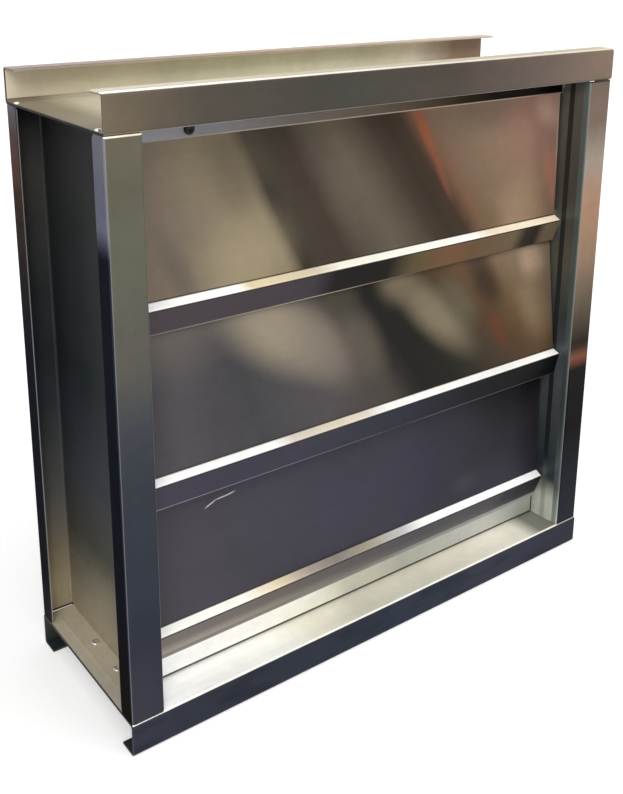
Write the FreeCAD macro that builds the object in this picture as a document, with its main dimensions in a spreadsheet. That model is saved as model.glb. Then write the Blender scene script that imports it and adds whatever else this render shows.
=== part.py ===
import FreeCAD, Part
import os
import Sketcher

# Pressure relief grille: a sheet steel frame of four lipped channels with three gravity blades.
# Millimetres. X runs across the airway, Y from the front face to the back, Z up. The origin is the
# middle of the footprint, on the floor, and the front flanges face -Y.

SIZES = {
    # frame channels
    "frame_width": 450.0,
    "frame_height": 450.0,
    "frame_depth": 150.0,
    "flange_width": 25.0,
    "lip_width": 16.0,
    "frame_sheet": 1.5,
    "frame_bend": 1.0,
    "lip_corner": 2.5,
    "flange_gap": 0.3,
    "tab_width": 14.0,
    "tab_setback": 10.0,
    "tab_clip": 5.0,
    # pivots: the top one hangs below the top web, and the sill stands where a fourth blade would start
    "top_pivot_drop": 25.0,
    "sill_pivot_rise": 15.0,
    "pivot_depth": 36.0,
    # blades, measured from the pivot axis
    "blade_sheet": 1.0,
    "blade_bend": 0.8,
    "blade_side_gap": 2.0,
    "face_offset": 7.0,
    "face_rise": 16.0,
    "skirt_bottom_rise": 6.5,
    "nose_reach": 7.0,
    "nose_fall": 3.5,
    "skirt_setback": 7.7,
    "skirt_fall": 19.5,
    "hem_height": 4.0,
    "hem_round": 0.9,
    "return_depth": 12.5,
    "return_notch": 3.0,
    "rest_angle": 1.5,
    "ajar_angle": 7.5,
    # pivot rods, bushes and push-on clips
    "rod_radius": 2.5,
    "rod_chamfer": 0.5,
    "rod_overhang": 7.0,
    "running_gap": 0.05,
    "fit_gap": 0.02,
    "bush_radius": 4.5,
    "bush_flange_radius": 6.5,
    "bush_flange": 1.2,
    "bush_tail": 1.6,
    "clip_radius": 5.5,
    "clip_sheet": 0.5,
    "clip_rise": 0.8,
    "clip_hub_radius": 3.6,
    "clip_gap": 0.4,
    # stop angles above and below the blades
    "stop_sheet": 1.2,
    "stop_bend": 0.8,
    "stop_gap": 0.35,
    "stop_foot": 18.0,
    "header_leg": 12.0,
    # rivets
    "rivet_shank": 1.6,
    "rivet_head_radius": 3.2,
    "rivet_head": 1.1,
    "rivet_crown_radius": 1.9,
    "rivet_tail": 1.3,
    "foot_rivet_inset": 6.0,
    "foot_rivet_pitch": 36.0,
    "stop_rivet_inset": 38.0,
    # plug in the header and weld beads at the top corners
    "plug_radius": 3.8,
    "plug_crown_radius": 2.8,
    "plug_crown": 1.5,
    "plug_neck": 1.3,
    "plug_back": 1.0,
    "plug_inset": 46.0,
    "plug_drop": 6.5,
    "bead_radius": 2.4,
    "bead_crown_radius": 1.3,
    "bead_height": 1.4,
    "bead_margin": 0.4,
    "bead_setback": 13.0,
}
BLADE_COUNT = 3
# how close two places are when they count as the same
NEAR = 1e-4
STOP_RIVETS = 3

doc = FreeCAD.newDocument("relief_grille")
sheet = doc.addObject("Spreadsheet::Sheet", "Sizes")
for row, (size_name, size_value) in enumerate(SIZES.items(), start=1):
    sheet.set("A%d" % row, size_name)
    sheet.set("B%d" % row, str(size_value))
    sheet.setAlias("B%d" % row, size_name)
doc.recompute()

# Places and distances that more than one piece uses. "Ahead" is a distance in front of the middle
# of the frame's depth, or of a blade's pivot axis.
FRONT = "-Sizes.frame_depth / 2"
INNER_HALF = "(Sizes.frame_width / 2 - Sizes.flange_width)"
WEB_BACK = "(" + INNER_HALF + " + Sizes.frame_sheet)"
BOTTOM_FACE = "Sizes.flange_width"
TOP_FACE = "(Sizes.frame_height - Sizes.flange_width)"
PIVOT_AHEAD = "(Sizes.frame_depth / 2 - Sizes.pivot_depth)"
BLADE_HALF = "(" + INNER_HALF + " - Sizes.blade_side_gap)"
BUSH_BORE = "(Sizes.rod_radius + Sizes.running_gap)"
ROD_HOLE = "(Sizes.rod_radius + Sizes.fit_gap)"
PITCH = (
    "((Sizes.frame_height - 2 * Sizes.flange_width - Sizes.top_pivot_drop - Sizes.sill_pivot_rise) / %d)"
    % BLADE_COUNT
)
SKIRT_DROP = "(" + PITCH + " - Sizes.skirt_bottom_rise)"
FACE_DROP = "(" + SKIRT_DROP + " - Sizes.skirt_fall - Sizes.nose_fall)"
SKIRT_AHEAD = (
    "((Sizes.face_offset + Sizes.nose_reach - Sizes.skirt_setback - 2 * Sizes.blade_sheet)"
    " * cos(Sizes.rest_angle * 1 deg)"
    " + " + SKIRT_DROP + " * sin(Sizes.rest_angle * 1 deg))"
)
SILL_AHEAD = "(" + PIVOT_AHEAD + " + " + SKIRT_AHEAD + " - Sizes.stop_gap)"
SILL_HEIGHT = "(Sizes.sill_pivot_rise + Sizes.face_rise)"
HEADER_AHEAD = "(" + PIVOT_AHEAD + " + Sizes.face_offset + Sizes.stop_gap + Sizes.stop_sheet)"
STOP_RIVET_BACK = "(Sizes.stop_sheet + Sizes.stop_foot) / 2"
STOP_RIVET_RUN = "2 * (" + BLADE_HALF + " - Sizes.stop_rivet_inset)"
FOOT_RIVET_X = "(" + WEB_BACK + " + Sizes.foot_rivet_inset)"
LEVELS = ("lower", "middle", "upper")
SIDES = {"left": "-", "right": ""}


def pivot_height(level):
    return "(Sizes.flange_width + Sizes.sill_pivot_rise + %d * %s)" % (LEVELS.index(level) + 1, PITCH)


def flip(sign):
    return "" if sign == "-" else "-"


def make_body(label):
    body = doc.addObject("PartDesign::Body", label)
    body.Label = label
    return body


def origin_item(body, role):
    return [item for item in body.Origin.OriginFeatures if item.Role == role][0]


def make_sketch(body, name, plane, offset=None):
    """A sketch on one of the body's own planes, moved along the plane's normal by an expression."""
    sketch = body.newObject("Sketcher::SketchObject", name)
    sketch.AttachmentSupport = [(origin_item(body, plane), "")]
    sketch.MapMode = "FlatFace"
    if offset is not None:
        sketch.setExpression("AttachmentOffset.Base.z", offset)
    return sketch


def value(expression):
    """What an expression comes to now; None stands for nought."""
    return 0.0 if expression is None else float(sheet.evalExpression(expression))


def bound(sketch, kind, items, expression):
    """Add a dimension and bind it to an expression."""
    index = sketch.addConstraint(Sketcher.Constraint(kind, *items, value(expression)))
    sketch.setExpression("Constraints[%d]" % index, expression)


def signed(sketch, kind, start, end, expression):
    """DistanceX or DistanceY between two points; a leading minus swaps them."""
    if expression.startswith("-"):
        start, end, expression = end, start, expression[1:]
    bound(sketch, kind, start + end, expression)


def pin_point(sketch, point, place):
    """Fix a point at (x, y) from the sketch's origin; None puts it on the axis."""
    for kind, axis, expression in (("DistanceX", -2, place[0]), ("DistanceY", -1, place[1])):
        if expression is None:
            sketch.addConstraint(Sketcher.Constraint("PointOnObject", *point, axis))
        else:
            signed(sketch, kind, (-1, 1), point, expression)


def draw_path(sketch, start, steps, closed=True):
    """Straight edges, each a pair of expressions (across, up) or None. A closed path's last edge
    isn't measured, because the others settle it."""
    first = FreeCAD.Vector(value(start[0]), value(start[1]), 0)
    spot = first
    lines = []
    for number, (across, up) in enumerate(steps):
        goal = spot + FreeCAD.Vector(value(across), value(up), 0)
        if closed and number == len(steps) - 1:
            goal = first
        lines.append(sketch.addGeometry(Part.LineSegment(spot, goal), False))
        spot = goal
    pairs = list(zip(lines, lines[1:]))
    if closed:
        pairs.append((lines[-1], lines[0]))
    for before, after in pairs:
        sketch.addConstraint(Sketcher.Constraint("Coincident", before, 2, after, 1))
    pin_point(sketch, (lines[0], 1), start)
    measured = steps[:-1] if closed else steps
    for line, (across, up) in zip(lines, measured):
        if across is None:
            sketch.addConstraint(Sketcher.Constraint("Vertical", line))
        else:
            signed(sketch, "DistanceX", (line, 1), (line, 2), across)
        if up is None:
            sketch.addConstraint(Sketcher.Constraint("Horizontal", line))
        else:
            signed(sketch, "DistanceY", (line, 1), (line, 2), up)
    doc.recompute()
    return lines


def draw_circle(sketch, place, radius):
    middle = FreeCAD.Vector(value(place[0]), value(place[1]), 0)
    circle = sketch.addGeometry(Part.Circle(middle, FreeCAD.Vector(0, 0, 1), value(radius)), False)
    bound(sketch, "Radius", (circle,), radius)
    pin_point(sketch, (circle, 3), place)


def add_pad(body, sketch, name, length, midplane=False, backwards=False):
    pad = body.newObject("PartDesign::Pad", name)
    pad.Profile = sketch
    pad.Midplane = midplane
    pad.Reversed = backwards
    pad.setExpression("Length", length)
    doc.recompute()
    return pad


def add_holes(body, sketch, name):
    """Cut the sketch's circles right through the body, both ways from the sketch."""
    doc.recompute()
    before = body.Shape.Volume
    pocket = body.newObject("PartDesign::Pocket", name)
    pocket.Profile = sketch
    pocket.Type = "ThroughAll"
    pocket.Midplane = True
    doc.recompute()
    if body.Shape.Volume >= before:
        raise RuntimeError(name + " cuts nothing")
    return pocket


def round_corners(body, feature, name, sketch, lines, radius):
    """Fillet the long edges that stand on the start points of the given sketch lines."""
    corners = [sketch.Geometry[line].StartPoint for line in lines]
    place = sketch.Placement
    normal = place.Rotation.multVec(FreeCAD.Vector(0, 0, 1))
    names = []
    for number, edge in enumerate(feature.Shape.Edges, start=1):
        ends = [vertex.Point for vertex in edge.Vertexes]
        if len(ends) != 2 or (ends[1] - ends[0]).normalize().cross(normal).Length > NEAR:
            continue
        spot = place.inverse().multVec(ends[0])
        if any(abs(spot.x - corner.x) + abs(spot.y - corner.y) < NEAR for corner in corners):
            names.append("Edge%d" % number)
    fillet = body.newObject("PartDesign::Fillet", name)
    fillet.Base = (feature, names)
    fillet.setExpression("Radius", radius)
    doc.recompute()
    return fillet


def add_revolve(body, sketch, name, axis):
    turn = body.newObject("PartDesign::Revolution", name)
    turn.Profile = sketch
    turn.ReferenceAxis = (sketch, [axis])
    turn.Angle = 360.0
    doc.recompute()
    return turn


def repeat_along(body, features, name, role, length, count):
    pattern = body.newObject("PartDesign::LinearPattern", name)
    pattern.Originals = features
    pattern.Direction = (origin_item(body, role), [""])
    pattern.setExpression("Length", length)
    pattern.Occurrences = count
    body.Tip = pattern
    doc.recompute()


def mirror_across(body, features, name):
    """Repeat the features on the other side of the YZ plane."""
    pair = body.newObject("PartDesign::Mirrored", name)
    pair.Originals = features
    pair.MirrorPlane = (origin_item(body, "YZ_Plane"), [""])
    body.Tip = pair
    doc.recompute()


def place_body(body, across, back, up, axis=None, angle="180 deg"):
    """Move a body to its place, turned about an axis if one is given."""
    if axis is not None:
        body.Placement = FreeCAD.Placement(FreeCAD.Vector(), FreeCAD.Rotation(FreeCAD.Vector(*axis), 10))
        body.setExpression("Placement.Rotation.Angle", angle)
    for name, expression in (("x", across), ("y", back), ("z", up)):
        if expression is not None:
            body.setExpression("Placement.Base." + name, expression)
    doc.recompute()


# Frame channels

def channel_steps(away):
    """Edges of a lipped channel as (along the depth, away from the airway). The first edge is the
    airway face of the web; away is the sign of the open side."""
    back = flip(away)
    lip_rest = "(Sizes.lip_width - Sizes.frame_sheet)"
    flange_rest = "(Sizes.flange_width - 2 * Sizes.frame_sheet)"
    return [
        ("Sizes.frame_depth", None),
        (None, away + "Sizes.flange_width"),
        ("-Sizes.lip_width", None),
        (None, back + "Sizes.frame_sheet"),
        (lip_rest, None),
        (None, back + flange_rest),
        ("-(Sizes.frame_depth - 2 * Sizes.frame_sheet)", None),
        (None, away + flange_rest),
        (lip_rest, None),
        (None, away + "Sizes.frame_sheet"),
        ("-Sizes.lip_width", None),
        (None, back + "Sizes.flange_width"),
    ]


def round_channel(body, pad, section, lines):
    """Bend radii of a lipped channel: outside on four corners, inside on the other four."""
    web, rear, rear_lip, _, _, rear_in, web_in, front_in, front_lip_in, _, _, front = lines
    outer = round_corners(body, pad, body.Label + "_outer_bends", section, (web, rear, rear_lip, front),
                          "Sizes.frame_bend + Sizes.frame_sheet")
    round_corners(body, outer, body.Label + "_inner_bends", section,
                  (rear_in, web_in, front_in, front_lip_in), "Sizes.frame_bend")


def make_cross_channel(label, airway_face, away):
    """Top or bottom channel: full width, with a level web."""
    body = make_body(label)
    section = make_sketch(body, label + "_section", "YZ_Plane")
    lines = draw_path(section, (FRONT, airway_face), channel_steps(away))
    pad = add_pad(body, section, label + "_pad", "Sizes.frame_width", midplane=True)
    round_channel(body, pad, section, lines)
    return body


def stop_rivet_holes(body, ahead):
    """The row of rivet holes through a stop's foot, and through the web that it lies on."""
    holes = make_sketch(body, body.Label + "_rivet_places", "XY_Plane")
    for number in range(STOP_RIVETS):
        steps = 2 * number - (STOP_RIVETS - 1)
        across = None
        if steps:
            sign = "-" if steps < 0 else ""
            across = "%s%d * %s / %d" % (sign, abs(steps), STOP_RIVET_RUN, 2 * (STOP_RIVETS - 1))
        draw_circle(holes, (across, "-(" + ahead + " - " + STOP_RIVET_BACK + ")"),
                    "Sizes.rivet_shank + Sizes.fit_gap")
    add_holes(body, holes, body.Label + "_rivet_holes")


def foot_rivet_holes(body, sides):
    holes = make_sketch(body, body.Label + "_foot_places", "XY_Plane")
    for side in sides:
        for end in ("-", ""):
            draw_circle(holes, (SIDES[side] + FOOT_RIVET_X, end + "Sizes.foot_rivet_pitch / 2"),
                        "Sizes.rivet_shank + Sizes.fit_gap")
    add_holes(body, holes, body.Label + "_foot_holes")


def add_tab(body, name, side, offset):
    """Tab bent outwards from the end of a side web, with two clipped corners."""
    out = SIDES[side]
    outline = make_sketch(body, name + "_outline", "XY_Plane", offset)
    half_run = "(Sizes.frame_depth / 2 - Sizes.tab_setback)"
    reach = "(Sizes.frame_sheet + Sizes.tab_width - Sizes.tab_clip)"
    draw_path(outline, (out + INNER_HALF, "-" + half_run), [
        (out + reach, None),
        (out + "Sizes.tab_clip", "Sizes.tab_clip"),
        (None, "2 * (" + half_run + " - Sizes.tab_clip)"),
        (flip(out) + "Sizes.tab_clip", "Sizes.tab_clip"),
        (flip(out) + reach, None),
        (None, None),
    ])
    add_pad(body, outline, name, "Sizes.frame_sheet")


def clip_lips(body):
    """Chamfer the free corners at both ends of the two lips."""
    edge_of_lip = value("Sizes.frame_depth / 2 - Sizes.lip_width")
    channel = body.Tip
    names = []
    for number, edge in enumerate(channel.Shape.Edges, start=1):
        ends = [vertex.Point for vertex in edge.Vertexes]
        if len(ends) == 2 and abs(ends[1].z - ends[0].z) < NEAR and abs(ends[1].y - ends[0].y) < NEAR:
            if abs(abs(ends[0].y) - edge_of_lip) < NEAR:
                names.append("Edge%d" % number)
    chamfer = body.newObject("PartDesign::Chamfer", body.Label + "_lip_corners")
    chamfer.Base = (channel, names)
    chamfer.setExpression("Size", "Sizes.lip_corner")
    doc.recompute()


def make_side_channel(side):
    """Left or right channel: an upright web with tabs that lie on the two level webs."""
    body = make_body(side + "_channel")
    section = make_sketch(body, body.Label + "_section", "XY_Plane", BOTTOM_FACE + " + Sizes.flange_gap")
    steps = [(across, along) for along, across in channel_steps(SIDES[side])]
    lines = draw_path(section, (SIDES[side] + INNER_HALF, FRONT), steps)
    pad = add_pad(body, section, body.Label + "_pad",
                  "Sizes.frame_height - 2 * Sizes.flange_width - 2 * Sizes.flange_gap")
    round_channel(body, pad, section, lines)
    clip_lips(body)
    add_tab(body, side + "_foot_tab", side, BOTTOM_FACE)
    foot_rivet_holes(body, [side])
    add_tab(body, side + "_head_tab", side, TOP_FACE + " - Sizes.frame_sheet")
    holes = make_sketch(body, side + "_bush_places", "YZ_Plane")
    for level in LEVELS:
        draw_circle(holes, ("-" + PIVOT_AHEAD, pivot_height(level)), "Sizes.bush_radius + Sizes.fit_gap")
    add_holes(body, holes, side + "_bush_holes")


# Blades

def mitre(before, corner, after, gap):
    """The corner of a line that runs a gap to the left of the path before, corner, after."""
    first = (corner - before).normalize()
    second = (after - corner).normalize()
    left = FreeCAD.Vector(-first.y - second.y, first.x + second.x, 0)
    return corner + left * (gap / (1 + first.dot(second)))


def blade_points():
    """Start places for the section's corners: the front surface down to the hem, and back up."""
    thick = value("Sizes.blade_sheet")
    front = value("-Sizes.face_offset")
    top = FreeCAD.Vector(front, value("Sizes.face_rise"), 0)
    knee = FreeCAD.Vector(front, -value(FACE_DROP), 0)
    nose = knee - FreeCAD.Vector(value("Sizes.nose_reach"), value("Sizes.nose_fall"), 0)
    hem = nose + FreeCAD.Vector(value("Sizes.skirt_setback"), -value("Sizes.skirt_fall"), 0)
    down = (hem - nose).normalize()
    back = FreeCAD.Vector(-down.y, down.x, 0)
    hem_top = hem + back * 2 * thick - down * value("Sizes.hem_height")
    return [
        top, knee, nose, hem, hem + back * 2 * thick, hem_top, hem_top - back * thick,
        mitre(knee, nose, hem, thick), mitre(top, knee, nose, thick),
        top + FreeCAD.Vector(thick, 0, 0),
    ]


def draw_blade_section(sketch):
    """Folded sheet: face, nose thrown forward, skirt, and a hem turned up behind the skirt."""
    points = blade_points()
    lines = []
    for number, point in enumerate(points):
        edge = Part.LineSegment(point, points[(number + 1) % len(points)])
        lines.append(sketch.addGeometry(edge, False))
    for before, after in zip(lines, lines[1:] + lines[:1]):
        sketch.addConstraint(Sketcher.Constraint("Coincident", before, 2, after, 1))
    face, nose, skirt, fold, hem, hem_end, skirt_back, nose_back, face_back, top = lines
    for line in (face, face_back):
        sketch.addConstraint(Sketcher.Constraint("Vertical", line))
    sketch.addConstraint(Sketcher.Constraint("Horizontal", top))
    for line in (fold, hem_end):
        sketch.addConstraint(Sketcher.Constraint("Perpendicular", line, skirt))
    for line in (hem, skirt_back):
        sketch.addConstraint(Sketcher.Constraint("Parallel", line, skirt))
    sketch.addConstraint(Sketcher.Constraint("Parallel", nose_back, nose))
    pin_point(sketch, (face, 1), ("-Sizes.face_offset", "Sizes.face_rise"))
    signed(sketch, "DistanceY", (face, 1), (face, 2), "-(Sizes.face_rise + " + FACE_DROP + ")")
    signed(sketch, "DistanceX", (nose, 1), (nose, 2), "-Sizes.nose_reach")
    signed(sketch, "DistanceY", (nose, 1), (nose, 2), "-Sizes.nose_fall")
    signed(sketch, "DistanceX", (skirt, 1), (skirt, 2), "Sizes.skirt_setback")
    signed(sketch, "DistanceY", (skirt, 1), (skirt, 2), "-Sizes.skirt_fall")
    bound(sketch, "Distance", (fold, 1, fold, 2), "2 * Sizes.blade_sheet")
    bound(sketch, "Distance", (hem, 1, hem, 2), "Sizes.hem_height")
    bound(sketch, "Distance", (hem_end, 1, hem_end, 2), "Sizes.blade_sheet")
    bound(sketch, "Distance", (top, 1, top, 2), "Sizes.blade_sheet")
    bound(sketch, "Distance", (nose_back, 1, nose), "Sizes.blade_sheet")
    doc.recompute()
    return {"inside": (nose, nose_back), "outside": (skirt, face_back), "hem": (fold, hem)}


def add_return(body, side):
    """Edge of the face turned back at one end; the rod passes through it."""
    start = BLADE_HALF + " - Sizes.blade_sheet" if side == "right" else "-" + BLADE_HALF
    name = body.Label + "_" + side + "_return"
    outline = make_sketch(body, name + "_outline", "YZ_Plane", start)
    run = "(Sizes.return_depth - Sizes.return_notch)"
    tall = "(Sizes.face_rise + " + FACE_DROP + " - 2 * Sizes.return_notch)"
    draw_path(outline, ("-Sizes.face_offset", "Sizes.face_rise - Sizes.return_notch"), [
        (run, None),
        ("Sizes.return_notch", "-Sizes.return_notch"),
        (None, "-(" + tall + " - 2 * Sizes.return_notch)"),
        ("-Sizes.return_notch", "-Sizes.return_notch"),
        ("-" + run, None),
        (None, tall),
    ])
    add_pad(body, outline, name, "Sizes.blade_sheet")


def make_blade(level, lean):
    body = make_body(level + "_blade")
    section = make_sketch(body, body.Label + "_section", "YZ_Plane")
    bends = draw_blade_section(section)
    feature = add_pad(body, section, body.Label + "_pad", "2 * " + BLADE_HALF, midplane=True)
    radii = {"inside": "Sizes.blade_bend", "outside": "Sizes.blade_bend + Sizes.blade_sheet",
             "hem": "Sizes.hem_round"}
    for kind, radius in radii.items():
        feature = round_corners(body, feature, body.Label + "_" + kind, section, bends[kind], radius)
    for side in SIDES:
        add_return(body, side)
    holes = make_sketch(body, body.Label + "_rod_place", "YZ_Plane")
    draw_circle(holes, (None, None), ROD_HOLE)
    add_holes(body, holes, body.Label + "_rod_holes")
    place_body(body, None, "-" + PIVOT_AHEAD, pivot_height(level), (-1, 0, 0), lean)


# Pivots

def make_rod(level):
    body = make_body(level + "_rod")
    section = make_sketch(body, body.Label + "_section", "YZ_Plane")
    draw_circle(section, (None, None), "Sizes.rod_radius")
    pad = add_pad(body, section, body.Label + "_pad",
                  "2 * (" + WEB_BACK + " + Sizes.rod_overhang)", midplane=True)
    ends = ["Edge%d" % number for number, edge in enumerate(pad.Shape.Edges, start=1)
            if edge.isClosed()]
    chamfer = body.newObject("PartDesign::Chamfer", body.Label + "_chamfer")
    chamfer.Base = (pad, ends)
    chamfer.setExpression("Size", "Sizes.rod_chamfer")
    place_body(body, None, "-" + PIVOT_AHEAD, pivot_height(level))


def place_at_web(body, level, side, distance):
    """Put a turned piece on a pivot axis, facing outwards on either side."""
    axis = (0, 0, 1) if side == "left" else None
    place_body(body, SIDES[side] + distance, "-" + PIVOT_AHEAD, pivot_height(level), axis)


def make_bush(level, side):
    """Nylon bush: flange on the airway side and a barrel through the web."""
    body = make_body(level + "_" + side + "_bush")
    section = make_sketch(body, body.Label + "_section", "XZ_Plane")
    draw_path(section, ("-Sizes.bush_flange", BUSH_BORE), [
        (None, "Sizes.bush_flange_radius - " + BUSH_BORE),
        ("Sizes.bush_flange", None),
        (None, "-(Sizes.bush_flange_radius - Sizes.bush_radius)"),
        ("Sizes.frame_sheet + Sizes.bush_tail", None),
        (None, "-(Sizes.bush_radius - " + BUSH_BORE + ")"),
        (None, None),
    ])
    add_revolve(body, section, body.Label + "_turned", "H_Axis")
    place_at_web(body, level, side, INNER_HALF)


def make_clips(level):
    """Push-on clips: dished washers pressed on both ends of the rod."""
    body = make_body(level + "_clips")
    body.AllowCompound = True
    section = make_sketch(body, body.Label + "_section", "XZ_Plane")
    rim = "(Sizes.clip_radius - Sizes.clip_hub_radius)"
    dish = "(Sizes.clip_hub_radius - " + ROD_HOLE + ")"
    draw_path(section, (WEB_BACK + " + Sizes.bush_tail + Sizes.clip_gap", "Sizes.clip_hub_radius"), [
        (None, rim),
        ("Sizes.clip_sheet", None),
        (None, "-" + rim),
        ("Sizes.clip_rise", "-" + dish),
        ("-Sizes.clip_sheet", None),
        ("-Sizes.clip_rise", dish),
    ])
    turned = add_revolve(body, section, body.Label + "_turned", "H_Axis")
    mirror_across(body, [turned], body.Label + "_pair")
    place_body(body, None, "-" + PIVOT_AHEAD, pivot_height(level))


# Stops

def make_stop(label, start, leg, away):
    """Angle with its leg across the airway and its foot towards the back; away is where the web
    lies from the foot."""
    body = make_body(label)
    section = make_sketch(body, label + "_section", "YZ_Plane")
    into = flip(away)
    draw_path(section, start, [
        (None, into + leg),
        ("Sizes.stop_sheet", None),
        (None, away + "(" + leg + " - Sizes.stop_sheet)"),
        ("Sizes.stop_foot - Sizes.stop_sheet", None),
        (None, away + "Sizes.stop_sheet"),
        ("-Sizes.stop_foot", None),
    ])
    pad = add_pad(body, section, label + "_pad", "2 * " + BLADE_HALF, midplane=True)
    outer = round_corners(body, pad, label + "_outer_bend", section, (0,),
                          "Sizes.stop_bend + Sizes.stop_sheet")
    round_corners(body, outer, label + "_inner_bend", section, (3,), "Sizes.stop_bend")
    return body


def cut_plug_hole(body):
    hole = make_sketch(body, body.Label + "_plug_place", "XZ_Plane")
    draw_circle(hole, ("-(" + INNER_HALF + " - Sizes.plug_inset)", TOP_FACE + " - Sizes.plug_drop"),
                "Sizes.plug_neck + Sizes.fit_gap")
    add_holes(body, hole, body.Label + "_plug_hole")


def make_plug():
    """Rubber buffer plug: crown in front of the header leg and a neck through it."""
    body = make_body("header_buffer")
    section = make_sketch(body, "buffer_section", "XY_Plane")
    draw_path(section, (None, "-Sizes.plug_crown"), [
        ("Sizes.plug_crown_radius", None),
        ("Sizes.plug_radius - Sizes.plug_crown_radius", "Sizes.plug_crown"),
        ("-(Sizes.plug_radius - Sizes.plug_neck)", None),
        (None, "Sizes.stop_sheet + Sizes.plug_back"),
        ("-Sizes.plug_neck", None),
        (None, None),
    ])
    add_revolve(body, section, "buffer_turned", "V_Axis")
    place_body(body, "-(" + INNER_HALF + " - Sizes.plug_inset)", "-" + HEADER_AHEAD,
               TOP_FACE + " - Sizes.plug_drop")


# Rivets and beads

def add_rivet(body, name, grip, offset=None):
    """One rivet, its head standing on the level of the body's origin and its shank going down."""
    section = make_sketch(body, name + "_section", "XZ_Plane", offset)
    draw_path(section, (None, "Sizes.rivet_head"), [
        ("Sizes.rivet_crown_radius", None),
        ("Sizes.rivet_head_radius - Sizes.rivet_crown_radius", "-Sizes.rivet_head"),
        ("-(Sizes.rivet_head_radius - Sizes.rivet_shank)", None),
        (None, "-(" + grip + " + Sizes.rivet_tail)"),
        ("-Sizes.rivet_shank", None),
        (None, None),
    ])
    return add_revolve(body, section, name, "V_Axis")


def make_stop_rivets(label, ahead, height, axis):
    body = make_body(label)
    body.AllowCompound = True
    rivet = add_rivet(body, label + "_first", "(Sizes.stop_sheet + Sizes.frame_sheet)")
    repeat_along(body, [rivet], label + "_row", "X_Axis", STOP_RIVET_RUN, STOP_RIVETS)
    place_body(body, "-" + STOP_RIVET_RUN + " / 2", "-(" + ahead + " - " + STOP_RIVET_BACK + ")",
               height, axis)


def make_foot_rivets():
    body = make_body("foot_rivets")
    body.AllowCompound = True
    pair = [add_rivet(body, "foot_rivet_" + end, "(2 * Sizes.frame_sheet)",
                      sign + "Sizes.foot_rivet_pitch / 2")
            for end, sign in (("front", ""), ("back", "-"))]
    repeat_along(body, pair, "foot_rivet_sides", "X_Axis", "2 * " + FOOT_RIVET_X, 2)
    place_body(body, "-" + FOOT_RIVET_X, None, BOTTOM_FACE + " + Sizes.frame_sheet")


def make_beads():
    """Four weld tacks on the ends of the top web."""
    beads = []
    for side, across in SIDES.items():
        for end, along in (("front", "-"), ("back", "")):
            bead = doc.addObject("Part::Cone", side + "_" + end + "_bead")
            bead.setExpression("Radius1", "Sizes.bead_radius")
            bead.setExpression("Radius2", "Sizes.bead_crown_radius")
            bead.setExpression("Height", "Sizes.bead_height")
            bead.setExpression("Placement.Base.x",
                               across + "(Sizes.frame_width / 2 - Sizes.bead_radius - Sizes.bead_margin)")
            bead.setExpression("Placement.Base.y", along + "(Sizes.frame_depth / 2 - Sizes.bead_setback)")
            bead.setExpression("Placement.Base.z", TOP_FACE + " + Sizes.frame_sheet")
            beads.append(bead)
    group = doc.addObject("Part::MultiFuse", "corner_beads")
    group.Label = "corner_beads"
    group.Shapes = beads
    doc.recompute()
    return group


def main():
    top = make_cross_channel("top_channel", TOP_FACE, "")
    stop_rivet_holes(top, HEADER_AHEAD)
    bottom = make_cross_channel("bottom_channel", BOTTOM_FACE, "-")
    stop_rivet_holes(bottom, SILL_AHEAD)
    foot_rivet_holes(bottom, SIDES)
    for side in SIDES:
        make_side_channel(side)
    for level in LEVELS:
        lean = "Sizes.ajar_angle" if level == "middle" else "Sizes.rest_angle"
        make_blade(level, lean + " * 1 deg")
        make_rod(level)
        make_clips(level)
        for side in SIDES:
            make_bush(level, side)
    sill = make_stop("sill_stop", ("-" + SILL_AHEAD, BOTTOM_FACE), SILL_HEIGHT, "-")
    stop_rivet_holes(sill, SILL_AHEAD)
    header = make_stop("header_stop", ("-" + HEADER_AHEAD, TOP_FACE), "Sizes.header_leg", "")
    stop_rivet_holes(header, HEADER_AHEAD)
    cut_plug_hole(header)
    make_plug()
    make_stop_rivets("sill_rivets", SILL_AHEAD, BOTTOM_FACE + " + Sizes.stop_sheet", None)
    make_stop_rivets("header_rivets", HEADER_AHEAD, TOP_FACE + " - Sizes.stop_sheet", (1, 0, 0))
    make_foot_rivets()
    beads = make_beads()
    doc.recompute()
    pieces = [item for item in doc.Objects if item.TypeId == "PartDesign::Body"] + [beads]
    for item in doc.Objects:
        if "Invalid" in item.State or "Error" in item.State:
            raise RuntimeError(item.Name + " is not valid")
    for piece in pieces:
        if piece.Shape.isNull() or not piece.Shape.isValid():
            raise RuntimeError(piece.Label + " has no sound shape")
    os.makedirs("parts", exist_ok=True)
    for piece in pieces:
        piece.Shape.exportStep("parts/" + piece.Label + ".step")
        box = piece.Shape.BoundBox
        print("%-20s solids %d  x %.2f..%.2f  y %.2f..%.2f  z %.2f..%.2f  volume %.0f" % (
            piece.Label, len(piece.Shape.Solids), box.XMin, box.XMax, box.YMin, box.YMax,
            box.ZMin, box.ZMax, piece.Shape.Volume))


main()
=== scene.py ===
import math

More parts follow.
